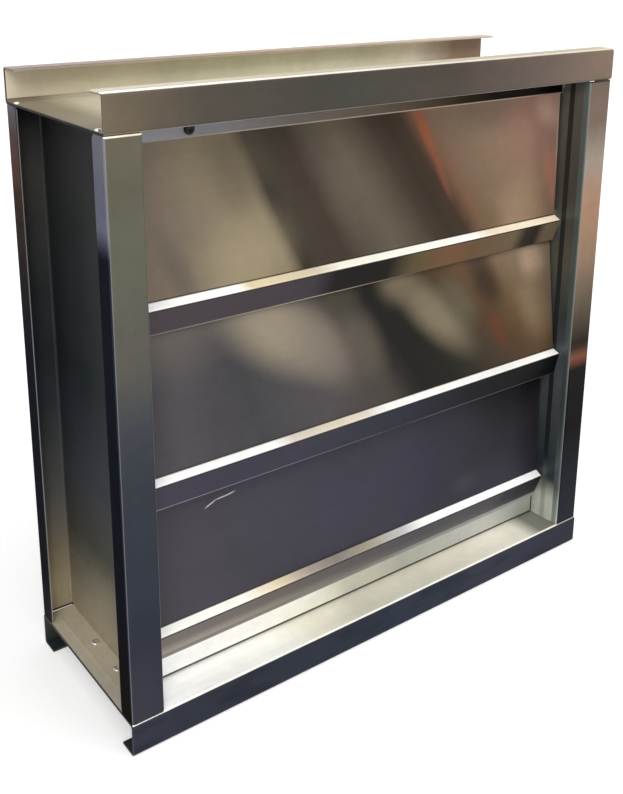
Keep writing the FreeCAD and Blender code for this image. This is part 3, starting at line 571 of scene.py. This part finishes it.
plainFinish = {"contrast": (0.35, 0.65), "grainScale": 10, "grainDetail": 3.0, "bump": 0.7}


def plainMaterial(name, look):
    material, tree, shader, spot, axes = newMaterial(name)
    marks = noise(tree, spot, look["scale"], *marksDetail)
    mottled = smooth(tree, marks, *plainFinish["contrast"])
    colour = mixTone(tree, mottled, *[tone(code) for code in look["tones"]])
    tree.links.new(colour, shader.inputs["Base Color"])
    low, high = look["roughness"]
    tree.links.new(spread(tree, marks, low, high), shader.inputs["Roughness"])
    shader.inputs["Metallic"].default_value = look["metallic"]
    shader.inputs["Specular IOR Level"].default_value = look.get("specular", 0.5)
    fine = noise(tree, spot, look["scale"] * plainFinish["grainScale"], plainFinish["grainDetail"])
    height = calc(tree, "MULTIPLY", fine, look["grain"])
    bump = addNode(tree, "ShaderNodeBump",
                   {"Height": height, "Distance": 1.0, "Strength": plainFinish["bump"]})
    tree.links.new(bump.outputs[0], shader.inputs["Normal"])
    return material


hardwareLooks = {
    "rodZinc": {"tones": ("a7a59f", "86847e"), "metallic": 0.9, "roughness": (0.22, 0.4), "scale": 60.0,
                "grain": 0.00003},
    "bushNylon": {"tones": ("33363a", "24262a"), "metallic": 0.0, "roughness": (0.42, 0.6), "scale": 90.0,
                  "grain": 0.00003},
    "clipSteel": {"tones": ("56565a", "3a3a3f"), "metallic": 0.9, "roughness": (0.22, 0.4), "scale": 120.0,
                  "grain": 0.00002},
    "rivetAluminium": {"tones": ("d9d8d2", "b9b8b2"), "metallic": 0.85, "roughness": (0.2, 0.36),
                       "scale": 120.0, "grain": 0.00002},
    "weldMetal": {"tones": ("f2eee4", "a39c8e"), "metallic": 0.85, "roughness": (0.16, 0.34), "scale": 240.0,
                  "grain": 0.00005},
    "bufferRubber": {"tones": ("0b0b0c", "040405"), "metallic": 0.0, "specular": 0.22,
                     "roughness": (0.22, 0.42), "scale": 150.0, "grain": 0.00002},
}
hardware = {name: plainMaterial(name, look) for name, look in hardwareLooks.items()}
pivotHeights = {"lower": 0.160, "middle": 0.280, "upper": 0.400}  # as in the CAD frame
pivotY = -0.039
fourCorners = [(x, y) for x in (-1, 1) for y in (-1, 1)]


def latheMesh(name, profile, steps, side=0):
    # profile: (radius, height) from one end of the axis to the other.
    # With a side of -1 or 1 the axis lies along x, and heights count outwards
    shape = bmesh.new()
    rings = []
    for radius, height in profile:
        if radius == 0:
            ring = [shape.verts.new((0, 0, height))]
        else:
            turns = [2 * math.pi * k / steps for k in range(steps)]
            ring = [shape.verts.new((radius * math.cos(a), radius * math.sin(a), height)) for a in turns]
        rings.append(ring)
    closed = profile[0] == profile[-1]
    pairs = list(zip(rings, rings[1:]))
    if closed:
        pairs[-1] = (rings[-2], rings[0])
    for first, second in pairs:
        for k in range(steps):
            corners = [first[k % len(first)], first[(k + 1) % len(first)],
                       second[(k + 1) % len(second)], second[k % len(second)]]
            kept = list(dict.fromkeys(corners))  # a pole has one point, so its faces are triangles
            if len(kept) > 2:
                shape.faces.new(kept)
    if closed:
        for vert in rings[-1]:
            shape.verts.remove(vert)
    bmesh.ops.recalc_face_normals(shape, faces=shape.faces)
    if side:
        for vert in shape.verts:
            vert.co = Vector((side * vert.co.z, vert.co.x, side * vert.co.y))
    for face in shape.faces:
        face.smooth = True
    mesh = bpy.data.meshes.new(name)
    shape.to_mesh(mesh)
    shape.free()
    return mesh


def arc(centre, radius, start, end, count):  # points of a rounded corner, angles in degrees
    angles = [math.radians(start + (end - start) * k / count) for k in range(count + 1)]
    return [(centre[0] + radius * math.cos(a), centre[1] + radius * math.sin(a)) for a in angles]


def dome(radius, height, rim, start):  # from near the top to the rim: rim is its share of the height
    angles = [math.radians(start + (90 - start) * k / 7) for k in range(8)]
    return [(radius * math.sin(a), height * (rim + (1 - rim) * math.cos(a))) for a in angles]


def addPiece(name, mesh, material, body, nodes, smoothAngle=40):
    mesh.materials.clear()
    mesh.materials.append(material)
    piece = bpy.data.objects.new(name, mesh)
    bpy.context.collection.objects.link(piece)
    mesh.set_sharp_from_angle(angle=math.radians(smoothAngle))
    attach(piece, body)
    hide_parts(*nodes)
    return piece


# One tree sets a copy of the model piece on every point, with a tilt, a random spin and a varied size

def makeScatterTree(name):
    tree = bpy.data.node_groups.new(name, "GeometryNodeTree")
    panel = tree.interface
    panel.new_socket("Points", in_out="INPUT", socket_type="NodeSocketGeometry")
    for label, kind, value in (("Model", "NodeSocketObject", None), ("Material", "NodeSocketMaterial", None),
                               ("Tilt", "NodeSocketVector", (0, 0, 0)),
                               ("Size change", "NodeSocketFloat", 0.0), ("Seed", "NodeSocketInt", 3)):
        socket = panel.new_socket(label, in_out="INPUT", socket_type=kind)
        if value is not None:
            socket.default_value = value
    panel.new_socket("Pieces", in_out="OUTPUT", socket_type="NodeSocketGeometry")
    given = tree.nodes.new("NodeGroupInput").outputs
    model = addNode(tree, "GeometryNodeObjectInfo", {"Object": given["Model"]})
    spin = addNode(tree, "FunctionNodeRandomValue", {"Max": (0, 0, 2 * math.pi), "Seed": given["Seed"]},
                   data_type="FLOAT_VECTOR")
    smallest = addNode(tree, "ShaderNodeMath", {0: 1.0, 1: given["Size change"]}, operation="SUBTRACT")
    size = addNode(tree, "FunctionNodeRandomValue", {2: smallest.outputs[0], 3: 1.0, "Seed": given["Seed"]},
                   data_type="FLOAT")
    placed = addNode(tree, "GeometryNodeInstanceOnPoints",
                     {"Points": given["Points"], "Instance": model.outputs["Geometry"],
                      "Rotation": spin.outputs[0], "Scale": size.outputs[1]})
    tilted = addNode(tree, "GeometryNodeRotateInstances",
                     {"Instances": placed.outputs[0], "Rotation": given["Tilt"], "Local Space": True})
    solid = addNode(tree, "GeometryNodeRealizeInstances", {0: tilted.outputs[0]})
    coated = addNode(tree, "GeometryNodeSetMaterial",
                     {"Geometry": solid.outputs[0], "Material": given["Material"]})
    end = tree.nodes.new("NodeGroupOutput")
    tree.links.new(coated.outputs[0], end.inputs[0])
    return tree


scatterTree = makeScatterTree("setOnPoints")


def setOnPoints(name, modelMesh, places, material, body, nodes, tilt=(0, 0, 0), sizeChange=0.0, seed=3):
    model = bpy.data.objects.new(name + "Model", modelMesh)
    bpy.context.collection.objects.link(model)
    pointMesh = bpy.data.meshes.new(name + "Points")
    pointMesh.from_pydata(places, [], [])
    carrier = bpy.data.objects.new(name + "Carrier", pointMesh)
    bpy.context.collection.objects.link(carrier)
    modifier = carrier.modifiers.new("set", "NODES")
    modifier.node_group = scatterTree
    values = {"Model": model, "Material": material, "Tilt": tilt, "Size change": sizeChange, "Seed": seed}
    for item in scatterTree.interface.items_tree:
        if item.name in values and item.in_out == "INPUT":
            modifier[item.identifier] = values[item.name]
    bpy.context.view_layer.update()
    mesh = bpy.data.meshes.new_from_object(carrier.evaluated_get(bpy.context.evaluated_depsgraph_get()))
    carrier.modifiers.remove(modifier)
    for helper in (carrier, model):
        bpy.data.objects.remove(helper)
    return addPiece(name, mesh, material, body, nodes)


rivetLook = {
    "headRadius": 0.0032, "headHeight": 0.0011, "domeRim": 0.22, "domeStart": 18, "steps": 32,
    "shankRadius": 0.0016, "tailRadius": 0.0021, "tailStart": 0.0002, "tailEnd": 0.0007, "tailTaper": 0.98,
    # the broken pin in the head: shares of its radius and of the head's height
    "pinRadius": 0.0008, "pinShares": ((0, 0.55), (0.8, 0.62), (1.0, 0.5), (1.15, 0.5), (1.3, 0.96)),
    "pinFoot": 1.4,  # share of the pin's radius at the end of the tail
    "sillZ": 0.0262, "headerZ": 0.4238, "footZ": 0.0265,
    "stopX": (-0.160, 0.0, 0.160), "sillY": -0.03632, "headerY": -0.03795, "footX": 0.2075, "footY": 0.018,
    "stopGrip": 0.0027, "stopLength": 0.0040, "footGrip": 0.0030, "footLength": 0.0043,
}


def rivetMesh(name, grip, length):  # a blind rivet: a domed head with a broken pin, and a set tail
    look = rivetLook
    radius, height = look["headRadius"], look["headHeight"]
    pin, shank, tail = look["pinRadius"], look["shankRadius"], look["tailRadius"]
    profile = [(pin * across, height * up) for across, up in look["pinShares"]]
    profile += dome(radius, height, look["domeRim"], look["domeStart"])
    profile += [(radius, 0.0), (shank, 0.0), (shank, -grip), (tail, -grip - look["tailStart"]),
                (tail * look["tailTaper"], -grip - look["tailEnd"]),
                (pin * look["pinFoot"], -length), (0, -length)]
    return latheMesh(name, profile, look["steps"])


setOnPoints("sillRivets", rivetMesh("sillRivet", rivetLook["stopGrip"], rivetLook["stopLength"]),
            [(x, rivetLook["sillY"], rivetLook["sillZ"]) for x in rivetLook["stopX"]],
            hardware["rivetAluminium"], "frame", ["sill_rivets"])
setOnPoints("headerRivets", rivetMesh("headerRivet", rivetLook["stopGrip"], rivetLook["stopLength"]),
            [(x, rivetLook["headerY"], rivetLook["headerZ"]) for x in rivetLook["stopX"]],
            hardware["rivetAluminium"], "frame", ["header_rivets"], tilt=(math.pi, 0, 0))
setOnPoints("footRivets", rivetMesh("footRivet", rivetLook["footGrip"], rivetLook["footLength"]),
            [(x * rivetLook["footX"], y * rivetLook["footY"], rivetLook["footZ"]) for x, y in fourCorners],
            hardware["rivetAluminium"], "frame", ["foot_rivets"])

beadLook = {"radius": 0.0024, "height": 0.0014, "domeStart": 12, "steps": 28, "squeeze": 0.94,
            "x": 0.2222, "y": 0.062, "z": 0.4265, "sizeChange": 0.08,
            "waves": ((0.035, 3, 0.6), (0.025, 5, 2.1))}  # (size, count round the edge, start)
beadDome = dome(beadLook["radius"], beadLook["height"], 0, beadLook["domeStart"])
beadMesh = latheMesh("bead", [(0, beadLook["height"])] + beadDome + [(0, 0)], beadLook["steps"])
for vert in beadMesh.vertices:  # a puddled, slightly uneven edge
    turn = math.atan2(vert.co.y, vert.co.x)
    swell = 1
    for size, count, start in beadLook["waves"]:
        swell += size * math.sin(count * turn + start)
    vert.co.x *= swell * beadLook["squeeze"]
    vert.co.y *= swell * beadLook["squeeze"]
setOnPoints("cornerBeads", beadMesh,
            [(x * beadLook["x"], y * beadLook["y"], beadLook["z"]) for x, y in fourCorners],
            hardware["weldMetal"], "frame", ["corner_beads"], sizeChange=beadLook["sizeChange"])
print("rivets and beads set")

bufferLook = {"radius": 0.0038, "crown": 0.0015, "round": 0.0011, "neck": 0.0013, "back": 0.0022, "steps": 40,
              "dimple": [(0, 0.0010), (0.0009, 0.0011)], "dimpleRim": 0.0013,
              "x": -0.154, "y": -0.04755, "z": 0.4185}
radius, neck, back = bufferLook["radius"], bufferLook["neck"], bufferLook["back"]
bufferProfile = bufferLook["dimple"] + [(bufferLook["dimpleRim"], bufferLook["crown"])]
bufferProfile += arc((radius - bufferLook["round"], 0.0004), bufferLook["round"], 88, 0, 6)
bufferProfile += [(radius - 0.0003, 0.0), (neck, 0.0), (neck, -0.0012), (neck, -back + 0.0003),
                  (neck * 0.7, -back), (0, -back)]
bufferMesh = latheMesh("buffer", bufferProfile, bufferLook["steps"])
for vert in bufferMesh.vertices:  # the crown faces forward
    x, y, z = vert.co
    vert.co = Vector((x + bufferLook["x"], -z + bufferLook["y"], y + bufferLook["z"]))
addPiece("headerBuffer", bufferMesh, hardware["bufferRubber"], "frame", ["header_buffer"],
         smoothAngle=50)

bushLook = {"bore": 0.00255, "barrel": 0.0045, "flange": 0.0065, "flangeSheet": 0.0012, "inner": 0.200,
            "outer": 0.2031, "edge": 0.0004, "taper": 0.0006, "steps": 48}


def bushMesh(name, height, side):
    look, edge = bushLook, bushLook["edge"]
    start, end = look["inner"] - look["flangeSheet"], look["outer"]
    profile = [(look["bore"], start + edge), (look["bore"] + edge, start)]
    profile += arc((look["flange"] - edge, start + edge), edge, -90, 0, 4)
    profile += [(look["flange"], look["inner"]), (look["barrel"], look["inner"]),
                (look["barrel"], end - look["taper"])]
    profile += [(look["barrel"] - edge, end), (look["bore"] + edge, end), (look["bore"], end - edge),
                profile[0]]
    mesh = latheMesh(name, profile, look["steps"], side)
    for vert in mesh.vertices:
        vert.co.y += pivotY
        vert.co.z += height
    return mesh


for level, height in pivotHeights.items():
    for sideName, side in (("left", -1), ("right", 1)):
        mesh = bushMesh(level + sideName + "Bush", height, side)
        addPiece(level + "Bush" + sideName.capitalize(), mesh, hardware["bushNylon"],
                 "frame", [level + "_" + sideName + "_bush"])

clipLook = {"rim": 0.0055, "hub": 0.0036, "bore": 0.00252, "sheet": 0.0005, "rise": 0.0008, "start": 0.2035,
            "teeth": 6, "stepsPerTooth": 8}


def clipMesh(name, height):  # a dished washer whose inner part is cut into springy teeth
    shape = bmesh.new()
    total = clipLook["teeth"] * clipLook["stepsPerTooth"]
    circles = [(clipLook["rim"], 0.0), (clipLook["hub"], 0.0), (clipLook["bore"], clipLook["rise"])]
    for side in (-1, 1):
        rings = {}
        for k in range(total):
            angle = 2 * math.pi * k / total
            for number, (radius, lift) in enumerate(circles):
                y, z = pivotY + radius * math.cos(angle), height + radius * math.sin(angle)
                for skin in (0, 1):
                    x = side * (clipLook["start"] + lift + skin * clipLook["sheet"])
                    rings[number, skin, k] = shape.verts.new((x, y, z))
        for k in range(total):
            after = (k + 1) % total
            isSlot = k % clipLook["stepsPerTooth"] == 0
            spans = [(0, 1)] if isSlot else [(0, 1), (1, 2)]
            for inner, outer in spans:
                for skin in (0, 1):
                    shape.faces.new([rings[inner, skin, k], rings[inner, skin, after],
                                     rings[outer, skin, after], rings[outer, skin, k]])
            last = 1 if isSlot else 2
            for edge in (0, last):
                shape.faces.new([rings[edge, 0, k], rings[edge, 0, after],
                                 rings[edge, 1, after], rings[edge, 1, k]])
            if isSlot:
                for place in (k, after):
                    shape.faces.new([rings[1, 0, place], rings[2, 0, place],
                                     rings[2, 1, place], rings[1, 1, place]])
    bmesh.ops.recalc_face_normals(shape, faces=shape.faces)
    mesh = bpy.data.meshes.new(name)
    shape.to_mesh(mesh)
    shape.free()
    return mesh


for level, height in pivotHeights.items():
    addPiece(level + "Clips", clipMesh(level + "Clip", height), hardware["clipSteel"], level + "_swing",
             [level + "_clips"], smoothAngle=25)
    dress(level + "_rod", hardware["rodZinc"])
print("pivots dressed")


# Floor, world, lamps and camera

studio = {
    "floorTones": ("f3f3f3", "f1f1f0"),
    "floorReach": 40.0,
    "floorDrop": 0.0004,
    "floorLift": 0.26,  # the floor's own glow in the camera's view, so that it reads as white
    "worldTone": "f6f8fc",
    "worldLevel": 0.45,
    "aim": (0, 0, 0.22),
    # name, place, strength, softness in degrees and colour
    "suns": (("keySun", (-1.3, -1.5, 2.0), 1.5, 35, (1.0, 0.985, 0.96)),
             ("topSun", (0.3, -1.2, 2.3), 1.0, 50, (1.0, 1.0, 1.0)),
             ("fillSun", (1.8, -0.6, 1.2), 0.25, 60, (0.96, 0.98, 1.0))),
}
cameraSetup = {
    "place": (-0.4772, -0.6109, 0.5333),
    "turn": (74.172, -0.362, -36.565),
    "lens": 47.2,
    "shiftY": -0.2051,
}


def makeFloor():
    mesh = bpy.data.meshes.new("floor")
    reach = studio["floorReach"]
    mesh.from_pydata([(-reach, -reach, 0), (reach, -reach, 0), (reach, reach, 0), (-reach, reach, 0)], [],
                     [(0, 1, 2, 3)])
    floor = bpy.data.objects.new("floor", mesh)
    bpy.context.collection.objects.link(floor)
    floor.location.z = -studio["floorDrop"]
    material, tree, shader, spot, axes = newMaterial("paleFloor")
    marks = smooth(tree, noise(tree, spot, 2.0, 3.0), 0.3, 0.7)
    colour = mixTone(tree, marks, *[tone(code) for code in studio["floorTones"]])
    tree.links.new(colour, shader.inputs["Base Color"])
    shader.inputs["Roughness"].default_value = 0.95
    shader.inputs["Specular IOR Level"].default_value = 0.1
    rays = addNode(tree, "ShaderNodeLightPath")
    seen = calc(tree, "MAXIMUM", rays.outputs["Is Camera Ray"], rays.outputs["Is Glossy Ray"])
    shader.inputs["Emission Color"].default_value = (1, 1, 1, 1)
    tree.links.new(calc(tree, "MULTIPLY", seen, studio["floorLift"]), shader.inputs["Emission Strength"])
    floor.data.materials.append(material)


def makeWorld():
    world = bpy.data.worlds.new("studio")
    world.use_nodes = True
    tree = world.node_tree
    tree.nodes.clear()
    rays = addNode(tree, "ShaderNodeLightPath")
    seen = calc(tree, "MAXIMUM",
                calc(tree, "MAXIMUM", rays.outputs["Is Camera Ray"], rays.outputs["Is Glossy Ray"]),
                rays.outputs["Is Transmission Ray"])
    plain = addNode(tree, "ShaderNodeBackground",
                    {"Color": tone(studio["worldTone"]), "Strength": studio["worldLevel"]})
    white = addNode(tree, "ShaderNodeBackground", {"Color": (1, 1, 1, 1), "Strength": 1.0})
    both = addNode(tree, "ShaderNodeMixShader", {0: seen, 1: plain.outputs[0], 2: white.outputs[0]})
    addNode(tree, "ShaderNodeOutputWorld", {"Surface": both.outputs[0]})
    bpy.context.scene.world = world


def makeSun(name, place, strength, softness, colour):
    data = bpy.data.lights.new(name, "SUN")
    data.energy = strength
    data.angle = math.radians(softness)
    data.color = colour
    lamp = bpy.data.objects.new(name, data)
    lamp.location = place
    lamp.rotation_euler = (Vector(studio["aim"]) - Vector(place)).to_track_quat("-Z", "Y").to_euler()
    bpy.context.collection.objects.link(lamp)


def makeCamera():
    data = bpy.data.cameras.new("camera")
    data.sensor_width = 36.0
    data.lens = cameraSetup["lens"]
    data.shift_y = cameraSetup["shiftY"]
    data.clip_start, data.clip_end = 0.02, 200.0
    camera = bpy.data.objects.new("camera", data)
    camera.location = cameraSetup["place"]
    camera.rotation_euler = Euler([math.radians(a) for a in cameraSetup["turn"]])
    bpy.context.collection.objects.link(camera)
    bpy.context.scene.camera = camera


makeFloor()
makeWorld()
for sun in studio["suns"]:
    makeSun(*sun)
makeCamera()
bpy.context.scene.view_settings.view_transform = "Standard"
print("studio set")
